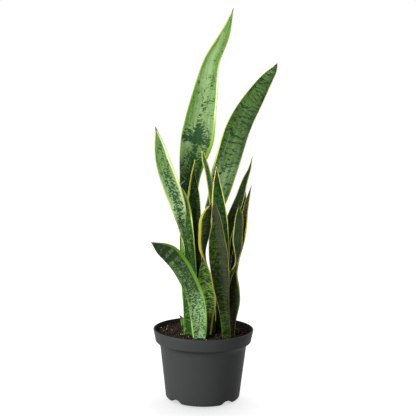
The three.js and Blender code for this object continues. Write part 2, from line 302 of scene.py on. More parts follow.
def makeFibreStreaks():
    # fine lengthwise streaks and slow clouding of a leaf's skin
    streaks = patternLook["streaks"]
    group, given, out = newGroup("fibreStreaks", {"Across": 0.0, "Along": 0.0, "Seed": 0.0}, streaks)
    for name, sizes in streaks.items():
        noise = stretchedNoise(group, given["Across"], given["Along"], given["Seed"], sizes)
        group.links.new(noise, out[name])
    return group


def makeGrainSpots():
    # even grain on Object coordinates, as a value and as a mask of its peaks
    group, given, out = newGroup(
        "grainSpots", {"Size": 0.002, "Detail": 3.0, "Low": 0.4, "High": 0.6}, ("Value", "Mask")
    )
    noise = addNode(group, "ShaderNodeTexNoise", {
        "Vector": addNode(group, "ShaderNodeTexCoord").outputs["Object"],
        "Scale": mathNode(group, "DIVIDE", 1.0, given["Size"]),
        "Detail": given["Detail"], "Roughness": patternLook["grainRoughness"],
    }).outputs["Fac"]
    group.links.new(noise, out["Value"])
    group.links.new(softStep(group, noise, given["Low"], given["High"]), out["Mask"])
    return group


def placeGrain(tree, sizes):
    return placeGroup(tree, grainSpots, dict(zip(("Size", "Detail", "Low", "High"), sizes)))


bladePlaces = makeBladePlaces()
crossBands = makeCrossBands()
fibreStreaks = makeFibreStreaks()
grainSpots = makeGrainSpots()
print("shared node groups made")


bladeLook = {
    "acrossSteps": 14,
    "alongStep": 3,  # mm
    "leastRows": 24,
    "baseThickness": 5,
    "tipThickness": 1.6,
    "narrowThickness": (0.35, 0.3),  # share of the width, and mm added, that cap the thickness
    "tipCupShare": 0.4,
    "cupBalance": 0.4,  # how much of the channel's rise lies below the middle line
    "edgeShare": 0.14,  # thickness at the margin against the middle
    "leastWidth": 0.6,
    "waveLength": 46,
    "wave": 0.5,
    "waveFade": 4,  # the wavy margin fades out over a quarter of the length at both ends
    "waveLean": 2,  # radians between the wave in the middle and at a margin
    "rampReach": 0.8,  # values end at this share of the half width
    "streakSpread": 2.0,
    "cloudSpread": 1.0,
    "bandStrength": 0.93,
    "sheenStreaks": (0.8, 0.5),
    "fibreGrey": (0.5, 0.75),
    "rimWobble": 1.6,  # mm
    "rimFade": (-0.4, 0.5),  # mm
    "dryRagged": 4.0,  # mm
    "dryFade": 3,  # mm
    "dryDulling": 0.3,
    "glossSpread": 0.2,
    "bandRelief": 0.6,
    "bump": (0.3, 0.0006),
}

# what a leaf has unless it says otherwise
plainLeaf = {
    "cup": 0.25, "barLength": 8, "barHeight": 5, "chevron": 0.2, "spotSize": 4, "spotShare": 0.6,
    "lineWeight": 0.04, "waver": 5.0, "clustering": 1.2, "sheen": [(0, 0)],
    "dryTip": 7, "dryColour": (0.045, 0.036, 0.028), "roughness": 0.4, "specular": 0.12,
}

# All lengths are in mm, and each row stands at one height or station, from the buried end up.
# stations: x, y, z, width, and the turn in degrees from the front where there is one.
# rim: height, left and right margin width, and how green the left and the right margin are.
# dark, the pale share, shade and sheen: height, then values from the left margin to the right, or one for
# all.
# The pale share is partly the leaf's own pale colouring and partly painted sheen; shade is painted light and
# shade; sheen is a painted reflection.
leaves = {
    "leaf_tall_left": {
        "slot": "pale_leaf", "cup": 0.3, "barLength": 11, "lineWeight": 0.05, "waver": 9,
        "chevron": -0.25, "clustering": 0.8, "spotSize": 6, "spotShare": 0.8, "seed": 3.1,
        "stations": [
            (-20, 8, 92, 17), (-27, 10, 180, 20), (-29, 16, 250, 29, 30), (-29, 24, 330, 35, 38),
            (-24, 31, 384, 46, 26), (-14, 37, 426, 55, 2), (-8.5, 43, 462, 50), (-2, 50, 500, 42),
            (7, 61, 550, 28), (30, 73, 601, 17), (44, 82, 644, 0),
        ],
        "rim": [
            (92, 0.3, 1.5, 1, 1), (200, 0.4, 1.5, 1, 1), (230, 0.8, 1.5, 1, 1), (375, 1.2, 2, 1, 1),
            (398, 1.2, 5, 1, 1), (436, 1.2, 5, 1, 1), (450, 1.2, 3.4, 1, 0.7), (470, 1.4, 3.2, 1, 0),
            (515, 1.5, 2.8, 0.9, 0), (540, 1.6, 1.8, 0.7, 0.2), (570, 1.8, 1.2, 0.5, 0.9),
            (620, 2, 1.4, 0.1, 1), (644, 0.5, 0.5, 0.5, 1),
        ],
        "dark": [
            (340, 0.9), (365, 0.6, 0.7, 0.8, 0.75, 0.75), (396, 0.35, 0.5, 0.75, 0.55, 0.6),
            (408, 0.25, 0.45, 0.85, 0.45, 0.5), (416, 0.15, 0.3, 0.6, 0.35, 0.4), (420, 1.1),
            (424, 1, 1, 1.1, 0.9, 0.8), (430, 0.7, 0.8, 1.2, 0.75, 0.6),
            (438, 0.55, 0.65, 1.15, 0.6, 0.45), (446, 0.3, 0.4, 1, 0.35, 0.2),
            (452, 0.1, 0.2, 0.65, 0.2, 0.1), (460, 0.15, 0.15, 0.3, 0.25, 0.2),
            (475, 0.25, 0.2, 0.4, 0.45, 0.3), (510, 0.3, 0.25, 0.35, 0.5, 0.35),
            (535, 0.15, 0.1, 0.2, 0.4, 0.4), (565, 0.1, 0, 0, 0.2, 0.2), (600, 0.25, 0.1, 0.1, 0.3, 0.4),
            (644, 0.4),
        ],
        "bloomAndSheen": [
            (92, 0), (340, 0.1, 0, 0, 0, 0), (370, 0.3, 0.3, 0.1, 0.1, 0), (410, 1, 0.9, 0.2, 0.5, 0.3),
            (440, 0.3, 0.7, 0.5, 0.5, 0.4), (460, 0.1, 0.7, 0.9, 0.5, 0.5),
            (520, -0.1, 0.6, 1.15, 0.4, 0.1), (560, -0.1, 0.6, 1.2, 0.3, -0.1),
            (590, 0, 0.5, 0.8, 0.1, -0.1), (615, 0, 0.1, 0.2, 0, -0.1), (644, 0),
        ],
        "shade": [
            (92, 0.6), (340, 0.65, 0.65, 0.6), (365, 0.8, 0.9, 0.9), (400, 0.75, 0.85, 0.65),
            (440, 0.72, 0.8, 0.75), (460, 0.85, 0.78, 0.85), (520, 0.85, 0.86, 0.9),
            (560, 0.85, 0.88, 0.9), (600, 1, 0.9, 0.95), (644, 1, 0.95, 0.9),
        ],
        "pale": (0.2, 0.305, 0.125), "green": (0.08, 0.165, 0.028), "darkColour": (0.006, 0.036, 0.01),
        "margin": (0.42, 0.48, 0.2), "rimColour": (0.13, 0.25, 0.01),
    },
    "leaf_tall_right": {
        "slot": "mottled_leaf", "cup": 0.3, "barLength": 30, "barHeight": 6, "lineWeight": 0.06,
        "waver": 11, "chevron": -0.15, "clustering": 0.7, "spotSize": 3, "spotShare": 0.3, "seed": 7.7,
        "stations": [
            (-3, 18, 92, 16, 30), (-6, 20, 200, 21, 50), (-3, 22, 262, 25, 46), (4, 23, 285, 28, 38),
            (18, 24, 323, 34, 18), (32.5, 26, 378, 42), (56, 26, 452, 40), (81.5, 22, 499, 31),
            (100, 18, 528, 19), (109, 15, 540, 11), (114, 12, 550, 0),
        ],
        "rim": [
            (92, 1, 1, 0, 1), (265, 1, 1.5, 0.4, 1), (325, 2, 2.2, 0, 1), (360, 3.4, 1.5, 0, 1),
            (405, 3.2, 0.8, 0, 1), (430, 2, 0.4, 0.2, 0.6), (450, 1, 0.3, 0.7, 0),
            (480, 0.9, 0.3, 0.5, 0), (510, 1, 0.3, 0.2, 0), (550, 0.6, 0.3, 0.2, 0),
        ],
        "dark": [
            (92, 0.6), (310, 0.5, 0.35, 0.45), (350, 0.5, 0.3, 0.5), (390, 0.7, 0.6, 0.7),
            (450, 0.85, 0.8, 0.85), (550, 0.8, 0.8, 0.85),
        ],
        "bloomAndSheen": [
            (92, 0.2), (310, 0.6, 0.7, 0.4), (345, 0.5, 1.1, 0.5), (370, 0.4, 0.8, 0.4),
            (390, 0.1, 0.35, 0.1), (415, 0, 0.25, -0.1), (460, -0.1, 0, -0.3), (500, -0.1, 0.05, -0.3),
            (550, 0, 0, -0.3),
        ],
        "shade": [
            (92, 0.7), (340, 1.1, 1.1, 1.1, 1.1, 0.9), (380, 1, 1, 0.95, 1, 0.65),
            (395, 0.75, 0.75, 0.8, 0.75, 0.5), (420, 0.75, 0.8, 0.75, 0.75, 0.42),
            (507, 0.8, 0.85, 0.8, 0.75, 0.42), (550, 0.6, 0.85, 0.9, 0.8, 0.45),
        ],
        "pale": (0.16, 0.24, 0.11), "green": (0.044, 0.1, 0.016), "darkColour": (0.007, 0.024, 0.005),
        "margin": (0.42, 0.5, 0.18), "rimColour": (0.16, 0.28, 0.03),
    },
    "leaf_light": {
        "slot": "pale_leaf", "barHeight": 6, "lineWeight": 0.08, "waver": 12, "chevron": 0.5,
        "clustering": 0.7, "spotSize": 5, "spotShare": 0.65, "seed": 12.3,
        "stations": [
            (-10, -24, 92, 14), (-16, -27, 160, 16, 25), (-26, -29, 225, 20, 58), (-33, -31, 268, 22, 76),
            (-36, -33, 283, 22, 64), (-41, -36, 312, 24, 25), (-53, -43, 352, 28), (-67, -51, 395, 23.5),
            (-72.5, -56, 420, 16), (-78, -63, 447, 0),
        ],
        "rim": [
            (92, 0.5, 0.5, 1, 1), (250, 0.8, 0.8, 1, 1), (285, 1.2, 1.5, 0.4, 0.6),
            (305, 1.6, 2.4, 0.2, 0.2), (335, 2, 3.4, 0, 0), (370, 1.1, 3.8, 0.4, 0),
            (395, 1.1, 4.2, 0.4, 0), (425, 1.3, 3.2, 0.2, 0), (447, 0.8, 1.5, 0.5, 0.5),
        ],
        "dark": [
            (250, 0.6), (285, 0.4, 0.85, 0.4), (305, 0.35, 0.95, 0.4), (345, 0.25, 1, 0.35),
            (365, 0.25, 0.75, 0.3), (390, 0.3, 0.6, 0.3), (425, 0.35, 0.45, 0.2), (447, 0.4),
        ],
        "bloomAndSheen": [
            (92, 0), (190, -0.4), (235, -0.2, -0.3, -0.4), (255, 0.6, 0.2, -0.2), (280, 1, 0.7, 0.8),
            (305, 1.1, 0.9, 1.1), (335, 1.1, 0.8, 1.1), (365, 0.5, 0.4, 0.5), (390, 0.1), (447, 0),
        ],
        "shade": [
            (92, 0.6), (190, 1.6), (235, 1.6, 2, 2), (262, 1.5, 2.4, 2), (280, 1.8, 1.6, 1.8),
            (300, 1.5, 1.3, 1.9), (325, 1.1, 1, 1.2), (360, 0.9, 0.95, 1), (447, 0.9, 0.9, 1),
        ],
        "pale": (0.21, 0.31, 0.13), "green": (0.072, 0.15, 0.035), "darkColour": (0.008, 0.034, 0.012),
        "margin": (0.42, 0.46, 0.22), "rimColour": (0.12, 0.26, 0.03),
    },
    "leaf_behind_light": {
        "slot": "mottled_leaf", "barLength": 12, "barHeight": 3.4, "lineWeight": 0.065, "waver": 8,
        "chevron": 0.3, "clustering": 0.6, "spotSize": 3.6, "spotShare": 0.75, "seed": 21.4, "dryTip": 9,
        "stations": [
            (-23, -17, 92, 16), (-23, -14, 165, 22), (-24, -13, 208, 24), (-26, -14, 250, 22),
            (-29, -17, 293, 19), (-32, -20, 322, 15), (-35, -22, 340, 8), (-40, -23, 354, 3),
            (-32, -24, 361, 0),
        ],
        "rim": [
            (92, 0.3, 0.6, 1, 1), (200, 0.4, 0.8, 1, 1), (230, 0.8, 1.3, 1, 0.6), (285, 1.2, 1.5, 0.5, 0),
            (300, 1.2, 2.4, 0.5, 0), (340, 1.4, 2.6, 0.3, 0.2), (352, 0.8, 1, 1, 1),
            (361, 0.4, 0.4, 1, 1),
        ],
        "dark": [(92, 0.85), (180, 0.8), (230, 0.75), (300, 0.7), (361, 0.1)],
        "bloomAndSheen": [(150, 0.8), (180, 0.6), (230, 0.7), (270, 0.7), (300, 0.8), (361, 0.9)],
        "shade": [(200, 1), (240, 1.1), (285, 1.35), (320, 1.3), (361, 1.5)],
        "pale": (0.1, 0.2, 0.045), "green": (0.045, 0.115, 0.01), "darkColour": (0.008, 0.032, 0.005),
        "margin": (0.55, 0.66, 0.14), "rimColour": (0.1, 0.22, 0.02), "dryColour": (0.42, 0.32, 0.26),
    },
    "leaf_dark_left": {
        "slot": "dark_leaf", "barHeight": 4, "spotShare": 0.7, "seed": 30.2, "specular": 0.06,
        "stations": [
            (-9, -2, 92, 13), (-11, -4, 196, 16), (-15, -6, 262, 21), (-18, -5, 302, 24),
            (-19, -2, 341, 19, 20), (-20, 2, 368, 11, 50), (-16, 7, 399, 0, 80),
        ],
        "rim": [
            (92, 0.8, 0.8, 0, 0), (300, 1, 0.6, 0, 0), (325, 1.8, 0.6, 0, 0), (340, 2.8, 0.6, 0, 0),
            (375, 2.2, 0.8, 0, 0), (399, 1, 0.6, 0, 0),
        ],
        "dark": [(92, 0.8), (399, 0.7)],
        "bloomAndSheen": [(92, 0.1), (300, 0.2), (399, 0.1)],
        "shade": [(92, 0.5), (250, 0.7), (300, 1)],
        "pale": (0.07, 0.13, 0.03), "green": (0.024, 0.05, 0.01), "darkColour": (0.006, 0.015, 0.004),
        "margin": (0.5, 0.5, 0.06), "rimColour": (0.1, 0.15, 0.02),
    },
    "leaf_front_left": {
        "slot": "mottled_leaf", "cup": 0.3, "barLength": 7, "barHeight": 3.6, "lineWeight": 0.06,
        "waver": 9, "chevron": 0.1, "clustering": 0.35, "spotShare": 0.8, "seed": 41.9,
        "stations": [
            (-6, -40, 92, 17), (-7, -43, 136, 26), (-15, -49, 181.5, 28), (-30, -56, 216.3, 29),
            (-41, -60, 234.3, 29.5), (-54, -65, 249, 28.5), (-67, -71, 258, 21), (-83, -79, 269, 0),
        ],
        "rim": [
            (92, 1.4, 1.2, 0, 1), (130, 1.4, 1.4, 0, 0.8), (150, 0.8, 1.6, 0.5, 0.5),
            (170, 0.6, 1.8, 1, 0.4), (180, 0.5, 3.6, 1, 0.6), (190, 0.5, 5.2, 1, 0.9),
            (215, 0.4, 5.6, 1, 0.9), (240, 0.3, 5.2, 1, 1), (256, 0.3, 3.4, 1, 1), (269, 0.3, 0.5, 1, 1),
        ],
        "dark": [
            (92, 0.55, 0.5, 0.6), (130, 0.55, 0.5, 0.55), (165, 0.55, 0.55, 0.5), (180, 0.65, 0.65, 0.6),
            (205, 0.6, 0.7, 0.75), (225, 0.55, 0.6, 0.7), (230, 0.45, 0.5, 0.7), (234, 0.75, 0.85, 0.9),
            (238, 0.4, 0.4, 0.6), (241, 0.4, 0.4, 0.6), (244, 1.2), (246.5, 1.2), (249, 0.25, 0.3, 0.5),
            (251, 0.3, 0.3, 0.6), (253, 1.2), (255, 1.2), (257, 0.35, 0.4, 0.6), (259, 1.2),
            (261, 0.6, 0.6, 0.8), (263, 1.2),
        ],
        "bloomAndSheen": [
            (92, 0.9, 1.1, 1), (150, 0.9, 1.2, 1.3), (168, 0.8, 1, 1.2), (180, 0.6, 0.7, 0.7),
            (192, 0.45, 0.4, 0.2), (230, 0.35, 0.3, 0.05), (256, 0.15, 0.2, 0.1), (269, 0),
        ],
        "shade": [
            (92, 0.9, 1.1, 0.9), (130, 0.9, 1.1, 1), (148, 0.9, 0.95, 0.95), (166, 1, 0.9, 1),
            (185, 1.05, 0.75, 0.8), (203, 1, 0.7, 0.65), (222, 0.7, 0.65, 0.6), (240, 0.65, 0.6, 0.55),
            (258, 0.6, 0.6, 0.7), (269, 0.4, 0.4, 0.5),
        ],
        "pale": (0.2, 0.33, 0.135), "green": (0.045, 0.095, 0.018), "darkColour": (0.011, 0.034, 0.008),
        "margin": (0.25, 0.42, 0.11), "rimColour": (0.052, 0.125, 0.005),
    },
    "leaf_twisted": {
        "slot": "dark_leaf", "cup": 0.45, "barLength": 18, "barHeight": 2.3, "lineWeight": 0.1,
        "waver": 4, "chevron": 0.35, "clustering": 0.3, "spotSize": 3, "spotShare": 0, "seed": 52.8,
        "specular": 0.06,
        "stations": [
            (6, -17, 92, 11), (8, -20, 137, 17), (8, -22, 167, 25, -5), (4, -23, 189, 26, -15),
            (2.5, -24, 212, 25, -38), (0.5, -24, 232, 24, -80), (-1.5, -24, 255, 22, -122),
            (0, -24, 280, 24, -138), (2, -24, 301, 21, -145), (6, -24, 314, 13, -150),
            (11, -24, 325, 0, -150),
        ],
        "rim": [
            (92, 0.6, 1.6, 0, 0), (125, 0.6, 2.4, 0, 0), (165, 0.6, 2.4, 0.4, 0), (185, 0.8, 1.8, 0.8, 0),
            (215, 0.8, 2, 1, 0.3), (235, 0.8, 3.6, 1, 0), (275, 0.8, 4.4, 1, 0), (300, 0.8, 3.4, 0.6, 0),
            (325, 0.6, 1.6, 0, 0),
        ],
        "dark": [(135, 1), (155, 0.85), (215, 0.85), (238, 0.9)],
        "bloomAndSheen": [(140, 0), (165, 0.6), (190, 0.7), (225, 0.4), (240, 0)],
        "shade": [
            (92, 0.3), (125, 0.35, 0.35, 0.6), (135, 0.7, 0.7, 0.9), (148, 2.6, 2.6, 2.8),
            (165, 2.3, 2.4, 2.6), (182, 2, 2.1, 2.1), (200, 1.1, 1.25, 1.2), (225, 1), (240, 0.9),
        ],
        "pale": (0.14, 0.28, 0.055), "green": (0.042, 0.06, 0.013), "darkColour": (0.01, 0.02, 0.005),
        "margin": (0.32, 0.285, 0.05), "rimColour": (0.12, 0.22, 0.02),
    },
    "leaf_front": {
        "slot": "dark_leaf", "barLength": 16, "barHeight": 4, "lineWeight": 0.08, "clustering": 0.7,
        "spotSize": 5, "seed": 63.5, "specular": 0.05,
        "stations": [
            (39, -36, 92, 14), (34, -36, 146, 16), (31, -35, 168, 20), (26, -35, 211, 29.5),
            (22, -35, 247, 31), (20, -36, 267, 27), (19, -38, 297, 16), (16, -39, 315, 11),
            (14, -41, 335, 0),
        ],
        "rim": [
            (92, 0.4, 0.6, 1, 1), (190, 0.4, 0.9, 0.6, 0.9), (211, 0.5, 1.1, 0, 0.4), (290, 0.9, 1, 0, 0),
            (335, 0.4, 0.4, 0, 0),
        ],
        "dark": [(92, 0.6), (140, 0.7), (220, 0.8), (240, 0.6), (285, 0.6), (310, 0.8), (335, 0.9)],
        "bloomAndSheen": [(335, 0)],
        "shade": [
            (92, 0.9), (130, 1.1, 0.9, 0.9), (145, 0.8, 0.8, 0.9), (165, 0.5, 0.7, 0.8),
            (185, 0.35, 0.7, 0.9), (215, 0.4, 0.75, 1), (235, 0.9, 0.9, 1), (335, 1),
        ],
        "sheen": [
            (92, 0, 0, 0, 0.1, 0), (150, 0, 0, 0, 0.6, 0.1), (220, 0, 0, 0, 0.9, 0.3),
            (260, 0, 0, 0.1, 1, 0.4), (285, 0, 0, 0.5, 1, 0.6), (300, 0.1, 0.3, 0.9, 1, 0.7),
            (315, 0.3, 0.6, 1, 1, 0.8), (335, 0.5, 0.9, 1, 0.9, 0.8),
        ],
        "pale": (0.034, 0.036, 0.025), "green": (0.026, 0.05, 0.006), "darkColour": (0.003, 0.007, 0.001),
        "margin": (0.15, 0.155, 0.04), "rimColour": (0.045, 0.055, 0.014),
        "sheenColour": (0.03, 0.034, 0.021),
    },
    "leaf_middle": {
        "slot": "dark_leaf", "barLength": 15, "barHeight": 6, "lineWeight": 0.08, "chevron": 0.1,
        "spotSize": 8, "spotShare": 0.7, "seed": 74.6, "dryTip": 4, "specular": 0.06,
        "stations": [
            (26, 12, 92, 17), (29, 7, 135, 20), (28, 3, 178, 22), (27, 0, 229, 25), (26, -2, 271, 27),
            (22, -4, 320, 23), (19, -6, 353, 13), (18, -9, 386, 0),
        ],
        "rim": [
            (92, 1, 0.4, 0, 1), (230, 1.5, 0.6, 0, 1), (270, 1.5, 1.2, 0, 0.4), (300, 2.2, 1.8, 0, 0),
            (350, 1.5, 1.1, 0, 0), (386, 0.6, 0.6, 0, 0),
        ],
        "dark": [(92, 0.8), (280, 0.65), (345, 0.6), (370, 0.9), (386, 1)],
        "bloomAndSheen": [(386, 0)],
        "shade": [(92, 0.6), (250, 0.9), (386, 1)],
        "sheen": [(92, 0), (350, 0, 0.1, 0), (362, 0, 0.5, 0.3), (386, 0.2, 0.6, 0.6)],
        "pale": (0.04, 0.05, 0.026), "green": (0.016, 0.058, 0.008), "darkColour": (0.004, 0.014, 0.003),
        "margin": (0.42, 0.46, 0.1), "rimColour": (0.06, 0.06, 0.012),
        "sheenColour": (0.026, 0.036, 0.018),
    },
    "leaf_narrow": {
        "slot": "mottled_leaf", "cup": 0.3, "barLength": 6, "barHeight": 4, "spotSize": 3, "seed": 85.2,
        "stations": [
            (13, 4, 92, 10), (18, 12, 178, 12), (19, 14, 245, 14), (15, 12, 310, 13), (8, 10, 352, 10),
            (3, 8, 376, 9), (-3, 5, 397, 7), (-6, 2, 414, 0),
        ],
        "rim": [
            (92, 0.8, 0.8, 1, 1), (230, 1, 1, 1, 1), (290, 1.2, 1.1, 0, 0), (400, 1.1, 0.9, 0, 0),
            (414, 0.8, 0.8, 0, 0),
        ],
        "dark": [(92, 0.8), (350, 0.5), (414, 0.6)],
        "bloomAndSheen": [(92, 0.3), (414, 0.4)],
        "shade": [(92, 0.7), (330, 0.8), (414, 0.75)],
        "pale": (0.08, 0.14, 0.045), "green": (0.04, 0.09, 0.02), "darkColour": (0.01, 0.03, 0.008),
        "margin": (0.38, 0.4, 0.11), "rimColour": (0.02, 0.03, 0.008),
    },
    "leaf_dark_right": {
        "slot": "dark_leaf", "seed": 96.1, "specular": 0.08,
        "stations": [
            (41, 12, 92, 13), (37, 16, 165, 13), (34, 17, 228, 15), (36, 18, 264, 16), (43, 21, 290, 18),
            (57, 28, 328, 15), (67, 35, 361, 9), (73, 38, 376, 5), (78, 43, 397, 0),
        ],
        "rim": [
            (92, 0.6, 0.6, 0, 0), (280, 1.2, 1.2, 0, 0), (350, 0.9, 0.9, 0, 0), (397, 0.3, 0.3, 0, 0),
        ],
        "dark": [(92, 0.8), (397, 0.75)],
        "bloomAndSheen": [(92, 0.1, 0.1, 0.3), (397, 0.05, 0.1, 0.5)],
        "shade": [(92, 1), (300, 1.3), (340, 1)],
        "pale": (0.05, 0.075, 0.022), "green": (0.018, 0.03, 0.007), "darkColour": (0.008, 0.013, 0.004),
        "margin": (0.34, 0.36, 0.09), "rimColour": (0.1, 0.15, 0.02),
    },
    "leaf_short_right": {
        "slot": "dark_leaf", "seed": 104.7, "specular": 0.08,
        "stations": [
            (49, 25, 92, 12), (45, 27, 178, 13), (43, 28, 225, 16), (46, 29, 244, 16), (50, 30, 263, 15),
            (59, 34, 289, 13), (65, 39, 314, 9), (68, 44, 338, 0),
        ],
        "rim": [(92, 0.6, 0.6, 0, 0), (338, 0.9, 0.7, 0, 0)],
        "dark": [(338, 0.8)],
        "bloomAndSheen": [(92, 0.1), (338, 0.2)],
        "shade": [(338, 1)],
        "pale": (0.05, 0.065, 0.022), "green": (0.025, 0.035, 0.009), "darkColour": (0.008, 0.012, 0.004),
        "margin": (0.34, 0.36, 0.09), "rimColour": (0.1, 0.15, 0.02),
    },
    "leaf_outer_right": {
        "slot": "dark_leaf", "cup": 0.3, "seed": 115.3, "specular": 0.06,
        "stations": [
            (47, -17, 92, 8), (47, -18, 133, 13, -10), (50, -18, 168, 20, -15), (49.5, -18, 184, 20, -25),
            (48.5, -18, 212, 20, -50), (50.5, -18, 230, 20, -52), (59, -18, 266, 21, -50),
            (62.5, -17, 286, 17, -45), (67.5, -13, 324, 8, -30), (75, -7, 354, 0, -10),
        ],
        "rim": [
            (92, 0.6, 1, 0, 1), (180, 0.8, 1.4, 0, 1), (222, 1, 2.6, 0, 0.6), (235, 1, 4, 0, 0),
            (290, 1, 3.4, 0, 0), (318, 0.5, 0.8, 0, 0.5), (354, 0.3, 0.4, 1, 1),
        ],
        "dark": [(92, 0.8), (354, 0.7)],
        "bloomAndSheen": [(354, 0.1)],
        "shade": [(250, 1.1), (300, 0.9), (318, 0.55), (328, 0.3), (354, 0.25)],
        "pale": (0.06, 0.07, 0.028), "green": (0.024, 0.028, 0.008), "darkColour": (0.006, 0.008, 0.003),
        "margin": (0.36, 0.3, 0.022), "rimColour": (0.1, 0.12, 0.03),
    },
    "leaf_grey_right": {
        "slot": "dark_leaf", "cup": 0.2, "spotShare": 0.5, "seed": 126.8, "specular": 0.08,
        "stations": [
            (36, -15, 92, 9), (33, -20, 150, 9), (36, -23, 184, 9), (42, -26, 208, 8, 20),
            (51, -31, 228, 8, 60), (53, -32, 248, 13, 35), (53, -30, 266, 16, 5), (54, -28, 286, 15),
            (55, -28, 302, 13), (54, -28, 325, 0),
        ],
        "rim": [
            (92, 0.6, 0.6, 0, 0), (230, 0.9, 0.9, 0, 0), (290, 1.2, 0.8, 0, 0), (325, 0.4, 0.4, 0, 0),
        ],
        "dark": [(92, 0.8), (240, 0.5), (325, 0.65)],
        "bloomAndSheen": [(92, 0.2), (225, 0.5, 0.6, 0.6), (245, 0.6), (265, 0.2, 0.2, 0.3), (325, 0)],
        "shade": [(92, 0.8), (225, 0.9), (255, 0.75), (325, 0.65)],
        "pale": (0.046, 0.054, 0.026), "green": (0.014, 0.034, 0.008), "darkColour": (0.01, 0.02, 0.006),
        "margin": (0.2, 0.22, 0.06), "rimColour": (0.1, 0.12, 0.03),
    },
    "sheath_scale": {
        "slot": "mottled_leaf", "cup": 0.3, "barLength": 4, "barHeight": 4, "spotSize": 3, "seed": 137.2,
        "stations": [(-33, -5, 96, 7), (-33, -6, 120, 7), (-35, -7, 131, 6), (-40, -9, 139, 0)],
        "rim": [
            (92, 0.1, 0.1, 1, 1), (120, 0.2, 0.4, 1, 1), (123, 0.5, 0.8, 0, 0), (130, 0.5, 0.8, 0, 0),
            (133, 0.3, 0.3, 1, 1),
        ],
        "dark": [(120, 1.3), (124, 0.3), (131, 0.3), (134, 1.2), (139, 1.3)],
        "bloomAndSheen": [(139, 0.3)],
        "shade": [(139, 0.9)],
        "pale": (0.1, 0.22, 0.03), "green": (0.055, 0.13, 0.012), "darkColour": (0.012, 0.012, 0.007),
        "margin": (0.12, 0.24, 0.02), "rimColour": (0.014, 0.014, 0.008),
    },
}


def bladeSections(leaf):
    # the blade's middle line and its frame, at any distance along it
    stations = [(*row, 0)[:5] for row in leaf["stations"]]
    columns = list(zip(*stations))
    knots = [0]
    for a, b in zip(stations, stations[1:]):
        knots.append(knots[-1] + math.dist(a[:3], b[:3]))
    length = knots[-1]

    def middle(s):
        return Vector([curveThrough(knots, columns[c], s) for c in range(3)])

    def section(s):
        reach = length / 1000
        along = (middle(min(s + reach, length)) - middle(max(s - reach, 0))).normalized()
        turn = math.radians(curveThrough(knots, columns[4], s))
        face = Vector((math.sin(turn), -math.cos(turn), 0))
        across = along.cross(face).normalized()
        out = across.cross(along)
        width = max(curveThrough(knots, columns[3], s), bladeLook["leastWidth"])
        return middle(s), across, out, width

    return length, section


def makeLeaf(name, leaf):
    look = bladeLook
    base, tip = look["baseThickness"], look["tipThickness"]
    widthShare, widthExtra = look["narrowThickness"]
    length, section = bladeSections(leaf)
    rows = max(look["leastRows"], round(length / look["alongStep"]))
    deselectAll()
    bpy.ops.mesh.primitive_grid_add(
        x_subdivisions=look["acrossSteps"], y_subdivisions=rows, size=1, location=(0, 0, 0)
    )
    piece = namedPiece(name + "_blade")
    mesh = piece.data
    values = {field: [0.0] * len(mesh.vertices) for field in bladeFields}
    thickness = piece.vertex_groups.new(name="thickness")
    sections = {}
    for vertex in mesh.vertices:
        side = max(-1.0, min(1.0, vertex.co.x * 2))
        share = max(0.0, min(1.0, vertex.co.y + 0.5))
        key = round(share, 5)
        if key not in sections:
            sections[key] = section(share * length)
        middle, across, out, width = sections[key]
        cup = leaf["cup"] * (1 - (1 - look["tipCupShare"]) * share)
        rise = cup * width / 2 * (side * side - look["cupBalance"])
        fade = min(1, (1 - share) * look["waveFade"]) * min(1, share * look["waveFade"])
        turns = share * length / look["waveLength"] * 2 * math.pi
        sway = math.sin(turns + leaf["seed"] + look["waveLean"] * side)
        rise += look["wave"] * fade * sway * abs(side) ** 3
        vertex.co = (middle + across * (width * side / 2) + out * rise) * mm
        full = min(base + (tip - base) * share, widthShare * width + widthExtra)
        lens = math.sqrt(max(1 - side * side, look["edgeShare"] ** 2))
        thickness.add([vertex.index], full * lens / base, "REPLACE")
        left, right, leftGreen, rightGreen = (
            rampAt([(row[0], row[c]) for row in leaf["rim"]], middle.z) for c in range(1, 5)
        )
        found = {
            "across": width * side / 2,
            "along": share * length,
            "toTip": (1 - share) * length,
            "inside": width * (1 - abs(side)) / 2 - (left if side < 0 else right),
            "rimGreen": leftGreen if side < 0 else rightGreen,
        }
        for field in ("dark", "bloomAndSheen", "sheen", "shade"):
            found[field] = acrossRamp(leaf[field], middle.z, side)
        for field, value in found.items():
            values[field][vertex.index] = value
    for field in bladeFields:
        layer = mesh.attributes.new(field, "FLOAT", "POINT")
        layer.data.foreach_set("value", values[field])
    wall = piece.modifiers.new("flesh", "SOLIDIFY")
    wall.thickness = base * mm
    wall.offset = 0
    wall.vertex_group = "thickness"
    rounding = piece.modifiers.new("rounding", "SUBSURF")
    rounding.levels = 1
    rounding.render_levels = 1
    applyAll(piece)
    bpy.ops.object.shade_smooth()
    piece.vertex_groups.clear()
    piece.data.materials.append(makeLeafFinish(name, leaf))
    fitOnBody(piece, leaf["slot"], name)


